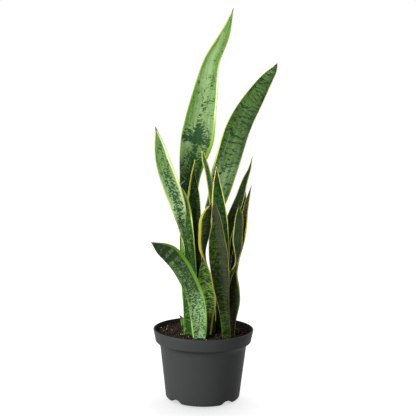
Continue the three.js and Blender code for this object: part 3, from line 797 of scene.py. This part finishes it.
def makeLeafFinish(name, leaf):
    material, tree, shader = newMaterial(name + "_skin")
    look = bladeLook
    place = placeGroup(tree, bladePlaces, {})
    where = {"Across": place["across"], "Along": place["along"], "Seed": leaf["seed"]}
    streaks = placeGroup(tree, fibreStreaks, where)
    cloud = streaks["Cloud"]
    bands = placeGroup(tree, crossBands, {
        **where, "Bar length": leaf["barLength"], "Bar height": leaf["barHeight"],
        "Chevron": leaf["chevron"], "Waver": leaf["waver"], "Dark share": place["dark"],
        "Line weight": leaf["lineWeight"], "Spot size": leaf["spotSize"],
        "Spot share": leaf["spotShare"], "Clustering": leaf["clustering"],
    })
    # pale over the green, partly the leaf's own pale colouring and partly painted sheen on the cupped face,
    # gathered into lengthwise streaks
    streaky = scaled(tree, streaks["Broad"], look["streakSpread"], -look["streakSpread"] / 2)
    cloudy = scaled(tree, cloud, look["cloudSpread"], -look["cloudSpread"] / 2)
    bloomAndSheen = mathNode(tree, "ADD", mathNode(tree, "ADD", place["bloomAndSheen"], streaky), cloudy, clamp=True)
    skin = mixColour(tree, bloomAndSheen, leaf["green"], leaf["pale"])
    dark = mathNode(tree, "MULTIPLY", bands["Mask"], look["bandStrength"])
    skin = mixColour(tree, dark, skin, leaf["darkColour"])
    # painted sheen: a grey reflection strip along the leaf's fold, mixed into the skin colour
    if "sheenColour" in leaf:
        sheenStreaking = scaled(tree, streaks["Broad"], *look["sheenStreaks"])
        sheen = mathNode(tree, "MULTIPLY", place["sheen"], sheenStreaking, clamp=True)
        skin = mixColour(tree, sheen, skin, leaf["sheenColour"])
    light = mathNode(tree, "MULTIPLY", scaled(tree, streaks["Fine"], *look["fibreGrey"]), place["shade"])
    grey = addNode(tree, "ShaderNodeCombineColor", {"Red": light, "Green": light, "Blue": light})
    skin = mixColour(tree, 1.0, skin, grey.outputs[0], "MULTIPLY")
    # the margin's colour bleeds a little into the face
    rimTone = mixColour(tree, place["rimGreen"], leaf["margin"], leaf["rimColour"])
    wobble = look["rimWobble"]
    inside = scaled(tree, cloud, wobble, mathNode(tree, "ADD", place["inside"], -wobble / 2))
    colour = mixColour(tree, softStep(tree, inside, *look["rimFade"]), rimTone, skin)
    ragged = scaled(tree, cloud, look["dryRagged"], place["toTip"])
    dry = softStep(tree, ragged, leaf["dryTip"], leaf["dryTip"] + look["dryFade"], 1.0, 0.0)
    colour = mixColour(tree, dry, colour, leaf["dryColour"])
    gloss = scaled(tree, dry, look["dryDulling"], scaled(tree, cloud, look["glossSpread"], leaf["roughness"]))
    relief = scaled(tree, bands["Pattern"], look["bandRelief"], streaks["Fine"])
    finishShader(tree, shader, colour, gloss, relief, *look["bump"])
    shader.inputs["Specular IOR Level"].default_value = leaf["specular"]
    return material


for leafName, leafLook in leaves.items():
    makeLeaf(leafName, {**plainLeaf, **leafLook})
print("leaves made:", len(leaves))


# lengths are in mm
potLook = {
    "lipRadius": 82.5,
    "lipThickness": 2.4,
    "lipRounding": 0.6,
    "bandRadius": 79.1,
    "bandDepth": 19,
    "bodyRadius": 70.8,
    "shoulderDepth": 31,
    "baseRadius": 60.9,
    "baseRounding": 4,
    "wall": 1.8,
    "sides": 192,
    "footRings": (0, 20, 34, 37, 40, 43, 46, 49, 52, 54.5),  # radius
    "wallRings": (5.5, 7.5, 10, 13, 18, 28, 40, 55, 70),  # height
    # the swept shoulder, as shares of its step out and of its rise
    "shoulder": (
        (0, 0), (0.04, 0.14), (0.1, 0.28), (0.2, 0.41), (0.34, 0.54), (0.52, 0.67), (0.72, 0.79),
        (0.88, 0.885), (0.96, 0.95), (1, 1.04), (1.01, 1.12),
    ),
    "innerCorner": (56, 1.5),  # past this radius and under this height the inner face has no rings
    "notchAngle": 43,
    "notchCount": 4,
    "notchHalf": 14.5,
    "notchFlat": 4,
    "notchHeight": 5,
    "notchInner": 34,
    "notchRamp": 6,
    "notchFade": 12,
    "holeRadius": 5.5,
    "holeCircle": 47,
    "holeDepth": 14,
    "holeSides": 32,
    "smoothing": 35,
    "merge": 0.02,
    "colour": (0.0225, 0.0250, 0.0235),
    # grain: size in m, detail, and the values where its mask starts and is full
    "haze": (0.03, 4.0, 0.35, 0.65),
    "dust": (0.0025, 5.0, 0.68, 0.78),
    "grain": (0.0006, 2.0, 0.4, 0.6),
    "hazeGain": 1.12,
    "hazeShare": 0.5,
    "dustColour": (0.12, 0.11, 0.09),
    "dustShare": 0.25,
    # painted shade along the crease under the band: its colour, height, half width and strength
    "creaseShadeColour": (0.004, 0.004, 0.004),
    "creaseHeight": 93.2,
    "creaseShadeHalf": 2.4,
    "creaseShadeDepth": 0.5,
    # the inner wall above the soil darkened, partly peat stain and partly painted shade
    "stainAndShadeColour": (0.006, 0.005, 0.004),
    "stainAndShadeDepth": 0.7,  # share of the wall where the darkening starts
    "stainAndShadeFade": (0.4, 1),  # across the wall and at its lower end
    "gloss": (0.12, 0.5),
    "specular": 0.08,
    "bump": (0.15, 0.0002),
}


def potOutline():
    look = potLook
    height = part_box("pot")[1][2] / mm
    wall = look["wall"]
    bandFoot = height - look["bandDepth"]
    shoulderFoot = height - look["shoulderDepth"]
    lean = (look["bodyRadius"] - look["baseRadius"]) / shoulderFoot
    outside = [(r, 0) for r in look["footRings"]]
    for degrees in range(0, 91, 15):
        turn = math.radians(degrees)
        inset = look["baseRounding"] * (1 - math.sin(turn))
        rise = look["baseRounding"] * (1 - math.cos(turn))
        outside.append((look["baseRadius"] + lean * rise - inset, rise))
    outside += [(look["baseRadius"] + lean * rise, rise) for rise in look["wallRings"]]
    ledge = look["bandRadius"] - look["bodyRadius"]
    drop = bandFoot - shoulderFoot
    outside += [(look["bodyRadius"] + ledge * out, shoulderFoot + drop * up) for out, up in look["shoulder"]]
    outside.append(((look["bandRadius"] + look["lipRadius"]) / 2, (bandFoot + height) / 2))
    cornerRadius, cornerHeight = look["innerCorner"]
    inner = [
        (r - wall, max(z, wall)) for r, z in outside if r > wall and (z > cornerHeight or r < cornerRadius)
    ]
    corner = look["lipRounding"]
    lip = []
    for centre, first in (
        (look["lipRadius"] - corner, 0), (look["lipRadius"] - look["lipThickness"] + corner, 90)
    ):
        for degrees in range(first, first + 91, 30):
            turn = math.radians(degrees)
            lip.append((centre + corner * math.cos(turn), height - corner + corner * math.sin(turn)))
    return outside + lip + inner[::-1] + [(0, wall)]


def makePot():
    outline = potOutline()
    deselectAll()
    bpy.ops.mesh.primitive_plane_add(size=mm, location=(0, 0, 0))
    piece = namedPiece("pot_shell")
    bpy.ops.object.mode_set(mode="EDIT")
    bpy.ops.mesh.merge(type="CENTER")
    for (r, z), (nextR, nextZ) in zip(outline, outline[1:]):
        bpy.ops.mesh.extrude_vertices_move(
            TRANSFORM_OT_translate={"value": ((nextR - r) * mm, 0, (nextZ - z) * mm)}
        )
    bpy.ops.mesh.select_all(action="SELECT")
    bpy.ops.mesh.spin(steps=potLook["sides"], angle=2 * math.pi, center=(0, 0, 0), axis=(0, 0, 1))
    bpy.ops.mesh.select_all(action="SELECT")
    bpy.ops.mesh.remove_doubles(threshold=potLook["merge"] * mm)
    bpy.ops.mesh.normals_make_consistent(inside=False)
    bpy.ops.object.mode_set(mode="OBJECT")
    liftNotches(piece)
    cutDrainHoles(piece)
    smoothAt(potLook["smoothing"], piece)
    piece.data.materials.append(makePotFinish())
    fitOnBody(piece, "pot_plastic", "pot")


def notchAngles():
    return [
        math.radians(potLook["notchAngle"] + 360 / potLook["notchCount"] * index)
        for index in range(potLook["notchCount"])
    ]


def liftNotches(piece):
    # each notch is pressed up out of the foot, and both faces of the wall follow it
    look = potLook
    half, flat, fade = look["notchHalf"], look["notchFlat"], look["notchFade"]
    for vertex in piece.data.vertices:
        x, y, z = (c / mm for c in vertex.co)
        if z > fade or math.hypot(x, y) < look["notchInner"]:
            continue
        lift = 0
        for angle in notchAngles():
            forward = x * math.cos(angle) + y * math.sin(angle)
            aside = abs(y * math.cos(angle) - x * math.sin(angle))
            if forward < 0 or aside > half:
                continue
            across = (1 + math.cos(math.pi * max(0, aside - flat) / (half - flat))) / 2
            inward = min(1, max(0, (forward - look["notchInner"]) / look["notchRamp"]))
            lift = max(lift, look["notchHeight"] * across * inward * inward * (3 - 2 * inward))
        vertex.co.z += lift * max(0, 1 - z / fade) * mm


def cutDrainHoles(piece):
    look = potLook
    cutters = []
    for angle in notchAngles():
        place = Vector((math.cos(angle), math.sin(angle), 0)) * look["holeCircle"] * mm
        place.z = look["notchHeight"] * mm
        deselectAll()
        bpy.ops.mesh.primitive_cylinder_add(
            vertices=look["holeSides"], radius=look["holeRadius"] * mm, depth=look["holeDepth"] * mm,
            location=place,
        )
        cutters.append(bpy.context.object)
    cutter = joinAll(cutters, "holeCutter")
    cut = piece.modifiers.new("drain holes", "BOOLEAN")
    cut.operation = "DIFFERENCE"
    cut.object = cutter
    applyAll(piece)
    bpy.data.objects.remove(cutter)


def makePotFinish():
    look = potLook
    material, tree, shader = newMaterial("moulded_dark_plastic")
    haze, dust, grain = (placeGrain(tree, look[key]) for key in ("haze", "dust", "grain"))
    light = [look["hazeGain"] * c for c in look["colour"]]
    hazy = mathNode(tree, "MULTIPLY", haze["Mask"], look["hazeShare"])
    colour = mixColour(tree, hazy, look["colour"], light)
    dusty = mathNode(tree, "MULTIPLY", dust["Mask"], look["dustShare"])
    colour = mixColour(tree, dusty, colour, look["dustColour"])
    # painted shade along the crease under the band
    x, y, height = splitPlace(tree, "Object")
    away = mathNode(tree, "ABSOLUTE", mathNode(tree, "SUBTRACT", height, look["creaseHeight"] * mm))
    creaseShade = softStep(tree, away, 0, look["creaseShadeHalf"] * mm, look["creaseShadeDepth"], 0)
    colour = mixColour(tree, creaseShade, colour, look["creaseShadeColour"])
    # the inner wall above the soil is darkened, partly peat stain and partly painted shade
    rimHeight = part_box("pot")[1][2]
    lean = (look["lipRadius"] - look["bandRadius"]) / look["bandDepth"]
    midWall = (look["lipRadius"] - look["wall"] * look["stainAndShadeDepth"]) * mm - rimHeight * lean
    squares = mathNode(tree, "ADD", mathNode(tree, "POWER", x, 2), mathNode(tree, "POWER", y, 2))
    radius = mathNode(tree, "SQRT", squares)
    inward = mathNode(tree, "SUBTRACT", scaled(tree, height, lean, midWall), radius)
    acrossFade, lowerFade = (fade * mm for fade in look["stainAndShadeFade"])
    lowEnd = rimHeight - look["bandDepth"] * mm
    inBand = softStep(tree, height, lowEnd, lowEnd + lowerFade)
    stainAndShade = mathNode(tree, "MULTIPLY", softStep(tree, inward, 0, acrossFade), inBand)
    stainAndShade = mathNode(tree, "MULTIPLY", stainAndShade, scaled(tree, haze["Value"], 0.5, 0.5))
    colour = mixColour(tree, stainAndShade, colour, look["stainAndShadeColour"])
    gloss = scaled(tree, haze["Value"], *look["gloss"])
    finishShader(tree, shader, colour, gloss, grain["Value"], *look["bump"])
    shader.inputs["Specular IOR Level"].default_value = look["specular"]
    return material


makePot()
print("pot made")


# lengths are in mm, and every colour pair is dark and light
soilLook = {
    "top": 107,
    "edgeGap": 0.3,
    "swells": (9, 11),  # mm per radian along x and y
    "longSwells": (23, 17),
    "longShare": 0.6,
    "ridge": 1.5,
    "rings": 44,
    "sides": 160,
    "rimGap": 0.1,
    "footInset": 1,
    "wallHeights": (84, 91, 96),
    "shoulderStep": 4,
    "rimDrop": 1.5,
    "levelEdge": (0.8, 1.5),  # the flat's inset, and the inset up to which the swells reach
    "looseDepth": 2,
    "shakes": {"clods": (9, 4.5), "crumble": (3, 3)},  # size and strength
    "smoothing": 50,
    "colours": ((0.0065, 0.0045, 0.0032), (0.045, 0.028, 0.018)),
    "clods": (0.006, 5.0, 0.42, 0.7),
    "flecks": (0.0014, 3.0, 0.5, 0.66),
    "clodTint": (0.4, 1.6),
    "fleckShare": 0.8,
    "gloss": (-0.2, 0.95),
    "specular": 0.06,
    "bump": (0.6, 0.0008),
    "lumpShake": (0.75, 1.2),
    "bitSpread": 0.975,  # share of the top's radius
    "bitTilt": 0.5,  # radians either way
    "bitTurn": 6.3,
    "bitNarrow": (0.6, 1),
    "bitRise": (-0.4, 0.7),
}

looseBits = {
    "peat_crumbs": {
        "count": 1900, "sizes": (1.2, 4.2), "flatness": 0.7,
        "finish": "crumb_peat", "colours": ((0.007, 0.005, 0.004), (0.11, 0.068, 0.045)),
    },
    "bark_chips": {
        "count": 90, "sizes": (1.6, 4.5), "flatness": 0.4,
        "finish": "bark", "colours": ((0.12, 0.055, 0.025), (0.42, 0.26, 0.14)),
    },
    "mineral_beads": {
        "count": 34, "sizes": (1.2, 2.6), "flatness": 0.85,
        "finish": "perlite", "colours": ((0.55, 0.42, 0.28), (0.8, 0.7, 0.55)),
    },
}


def soilLevel(x, y):
    look = soilLook
    (shortX, shortY), (longX, longY), share = look["swells"], look["longSwells"], look["longShare"]
    waves = math.sin(x / shortX + 1) * math.cos(y / shortY) + share * math.sin(x / longX - y / longY)
    return look["top"] + look["ridge"] * waves / (1 + share)


def makeSoil():
    look = soilLook
    low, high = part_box("soil")
    top, rings = look["top"], look["rings"]
    topRadius = high[0] / mm - look["rimGap"]
    gap = potLook["wall"] + look["edgeGap"]
    baseRadius = potLook["baseRadius"] - gap - look["footInset"]
    bodyRadius = potLook["bodyRadius"] - gap
    floor = low[2] / mm + potLook["notchHeight"]
    flatInset, ridgeInset = look["levelEdge"]
    deselectAll()
    bpy.ops.mesh.primitive_circle_add(
        vertices=look["sides"], radius=baseRadius * mm, fill_type="NGON", location=(0, 0, floor * mm)
    )
    piece = namedPiece("soil_bed")
    bpy.ops.object.mode_set(mode="EDIT")
    radii = (baseRadius, bodyRadius, bodyRadius + look["shoulderStep"], topRadius - 1, topRadius)
    outline = list(zip(radii, (floor, *look["wallHeights"], top - look["rimDrop"])))
    outline.append((topRadius - flatInset, top))
    outline += [(topRadius * (rings - i) / rings, top) for i in range(1, rings)]
    for (r, z), (nextR, nextZ) in zip(outline, outline[1:]):
        bpy.ops.mesh.extrude_region_move(TRANSFORM_OT_translate={"value": (0, 0, (nextZ - z) * mm)})
        bpy.ops.transform.resize(value=(nextR / r, nextR / r, 1), center_override=(0, 0, 0))
    bpy.ops.mesh.select_all(action="SELECT")
    bpy.ops.mesh.normals_make_consistent(inside=False)
    bpy.ops.object.mode_set(mode="OBJECT")
    for vertex in piece.data.vertices:
        x, y, z = (c / mm for c in vertex.co)
        if z > top - 0.2 and math.hypot(x, y) < topRadius - ridgeInset:
            vertex.co.z = soilLevel(x, y) * mm
    loose = piece.vertex_groups.new(name="loose top")
    looseFrom = (top - look["looseDepth"]) * mm
    loose.add([v.index for v in piece.data.vertices if v.co.z > looseFrom], 1, "REPLACE")
    for label, (size, strength) in look["shakes"].items():
        texture = bpy.data.textures.new(label, "CLOUDS")
        texture.noise_scale = size * mm
        texture.noise_depth = 2
        shake = piece.modifiers.new(label, "DISPLACE")
        shake.texture = texture
        shake.texture_coords = "LOCAL"
        shake.direction = "Z"
        shake.strength = strength * mm
        shake.mid_level = 0.5
        shake.vertex_group = "loose top"
    applyAll(piece)
    piece.vertex_groups.clear()
    smoothAt(look["smoothing"], piece)
    piece.data.materials.append(makeSoilFinish("peat", *look["colours"]))
    fitOnBody(piece, "potting_soil", "soil")
    return topRadius


def makeSoilFinish(name, dark, light):
    look = soilLook
    material, tree, shader = newMaterial(name)
    clods, flecks = placeGrain(tree, look["clods"]), placeGrain(tree, look["flecks"])
    shades = [[tint * c for c in dark] for tint in look["clodTint"]]
    colour = mixColour(tree, clods["Mask"], *shades)
    colour = mixColour(tree, mathNode(tree, "MULTIPLY", flecks["Mask"], look["fleckShare"]), colour, light)
    gloss = scaled(tree, flecks["Value"], *look["gloss"])
    finishShader(tree, shader, colour, gloss, flecks["Value"], *look["bump"])
    shader.inputs["Specular IOR Level"].default_value = look["specular"]
    return material


def scatterBits(name, look, draws, topRadius):
    # loose bits are copies of one rough lump, each turned and squashed its own way
    flatness, fullTurn, tip = look["flatness"], 2 * math.pi, soilLook["bitTilt"]
    deselectAll()
    bpy.ops.mesh.primitive_ico_sphere_add(subdivisions=1, radius=mm, location=(0, 0, 0))
    lump = namedPiece(name)
    for vertex in lump.data.vertices:
        vertex.co *= draws.uniform(*soilLook["lumpShake"])
    lump.data.materials.append(makeSoilFinish(look["finish"], *look["colours"]))
    bits = []
    for _ in range(look["count"]):
        radius = topRadius * math.sqrt(draws.random()) * soilLook["bitSpread"]
        angle = draws.uniform(0, fullTurn)
        x, y = radius * math.cos(angle), radius * math.sin(angle)
        size = draws.uniform(*look["sizes"]) / 2
        turn = Euler([draws.uniform(0, fullTurn) for _ in range(3)])
        tilt = Euler((
            draws.uniform(-tip, tip), draws.uniform(-tip, tip), draws.uniform(0, soilLook["bitTurn"])
        ))
        squash = Matrix.Diagonal((size, size * draws.uniform(*soilLook["bitNarrow"]), size * flatness, 1))
        height = soilLevel(x, y) + size * flatness / 2 + draws.uniform(*soilLook["bitRise"])
        bit = bpy.data.objects.new(name, lump.data.copy())
        bit.data.transform(
            Matrix.Translation(Vector((x, y, height)) * mm)
            @ tilt.to_matrix().to_4x4() @ squash @ turn.to_matrix().to_4x4()
        )
        bpy.context.collection.objects.link(bit)
        bits.append(bit)
    bpy.data.objects.remove(lump)
    fitOnBody(joinAll(bits, name), "potting_soil")


soilTopRadius = makeSoil()
bitDraws = random.Random(14)
for bitsName, bitsLook in looseBits.items():
    scatterBits(bitsName, bitsLook, bitDraws, soilTopRadius)
print("soil made")


rhizomeLook = {
    "colours": ((0.48, 0.24, 0.08), (0.62, 0.38, 0.16)),
    "patches": (0.008, 4.0, 0.4, 0.65),
    "scales": (0.0015, 2.0, 0.45, 0.6),
    "scaleColour": (0.25, 0.13, 0.06),
    "scaleShare": 0.35,
    "gloss": (0.3, 0.5),
    "bump": (0.5, 0.0005),
}


def makeRhizomeFinish():
    look = rhizomeLook
    material, tree, shader = newMaterial("rhizome_skin")
    patches, scales = placeGrain(tree, look["patches"]), placeGrain(tree, look["scales"])
    colour = mixColour(tree, patches["Mask"], *look["colours"])
    scaly = mathNode(tree, "MULTIPLY", scales["Mask"], look["scaleShare"])
    colour = mixColour(tree, scaly, colour, look["scaleColour"])
    gloss = scaled(tree, scales["Value"], *look["gloss"])
    finishShader(tree, shader, colour, gloss, scales["Value"], *look["bump"])
    return material


rhizomeSkin = makeRhizomeFinish()
for nodeName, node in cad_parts.items():
    if nodeName.startswith("rhizome"):
        node.data.materials.clear()
        node.data.materials.append(rhizomeSkin)
print("rhizomes finished")


stageLook = {
    "floorSize": 6,
    "floorDrop": 0.0003,
    "floorColour": (0.85, 0.85, 0.85),
    "floorGlow": 0.6,
    "frontLight": 0.05,  # the room's light on the viewer's side, and where it fades to full
    "frontFade": (-0.4, 0.35),
    "topLight": 1.4,  # overhead, and where it fades to that
    "topFade": (0.2, 0.8),
    # lamps: place and aim in m, width and height in m, watts
    "lamps": {
        "key": ((-1.3, -1.38, 1.2), (0, 0, 0.3), (1.2, 1.6), 116),
        "rim": ((1.9, 0.7, 0.8), (0, 0, 0.25), (0.8, 1.6), 3),
    },
    "cameraDistance": 1500,
    "cameraHeight": 478.4,
    "cameraTurns": (6.23, 0.19, 0.74),  # pitch down, yaw right and roll in degrees
    "focal": 80.17,
    "sensor": 36,
}


def makeFloor():
    deselectAll()
    bpy.ops.mesh.primitive_plane_add(size=stageLook["floorSize"], location=(0, 0, -stageLook["floorDrop"]))
    floor = namedPiece("studio_floor")
    material, _, shader = newMaterial("floor_paint")
    for socket, value in {
        "Base Color": (*stageLook["floorColour"], 1), "Roughness": 0.9, "Specular IOR Level": 0.1,
        "Emission Color": (1, 1, 1, 1), "Emission Strength": stageLook["floorGlow"],
    }.items():
        shader.inputs[socket].default_value = value
    floor.data.materials.append(material)


def addSoftLight(name, place, target, size, power):
    data = bpy.data.lights.new(name, "AREA")
    data.shape = "RECTANGLE"
    data.size, data.size_y = size
    data.energy = power
    light = bpy.data.objects.new(name, data)
    bpy.context.collection.objects.link(light)
    light.location = place
    light.rotation_euler = (Vector(target) - Vector(place)).to_track_quat("-Z", "Y").to_euler()
    # the lamps light the plant only, so the floor keeps one even tone
    linked = bpy.data.collections.new(name + "_lit")
    linked.objects.link(bpy.data.objects["studio_floor"])
    linked.collection_objects[0].light_linking.link_state = "EXCLUDE"
    light.light_linking.receiver_collection = linked


def makeCamera():
    look = stageLook
    pitch, yaw, roll = map(math.radians, look["cameraTurns"])
    ahead = Vector((math.sin(yaw) * math.cos(pitch), math.cos(yaw) * math.cos(pitch), -math.sin(pitch)))
    right = Vector((math.cos(yaw), -math.sin(yaw), 0))
    up = right.cross(ahead)
    rolledRight = right * math.cos(roll) + up * math.sin(roll)
    rolledUp = up * math.cos(roll) - right * math.sin(roll)
    data = bpy.data.cameras.new("camera")
    data.lens = look["focal"]
    data.sensor_width = look["sensor"]
    camera = bpy.data.objects.new("camera", data)
    bpy.context.collection.objects.link(camera)
    turn = Matrix((rolledRight, rolledUp, -ahead)).transposed()
    place = Vector((0, -look["cameraDistance"], look["cameraHeight"])) * mm
    camera.matrix_world = Matrix.Translation(place) @ turn.to_4x4()
    bpy.context.scene.camera = camera


def makeStudioLight():
    # white wall behind and soft light overhead, dimmer on the viewer's side
    look = stageLook
    world = bpy.data.worlds.new("studio")
    world.use_nodes = True
    tree = world.node_tree
    _, behind, above = splitPlace(tree, "Generated")
    depth = softStep(tree, behind, *look["frontFade"], look["frontLight"], 1.0, "LINEAR")
    overhead = softStep(tree, above, *look["topFade"], 1.0, look["topLight"], "LINEAR")
    seen = addNode(tree, "ShaderNodeLightPath").outputs["Is Camera Ray"]
    strength = mathNode(tree, "MAXIMUM", mathNode(tree, "MULTIPLY", depth, overhead), seen)
    background = tree.nodes["Background"]
    background.inputs["Color"].default_value = (1, 1, 1, 1)
    tree.links.new(strength, background.inputs["Strength"])
    bpy.context.scene.world = world
    bpy.context.scene.view_settings.view_transform = "Standard"
    for name, lamp in look["lamps"].items():
        addSoftLight(name, *lamp)


makeFloor()
makeStudioLight()
makeCamera()
print("stage made")
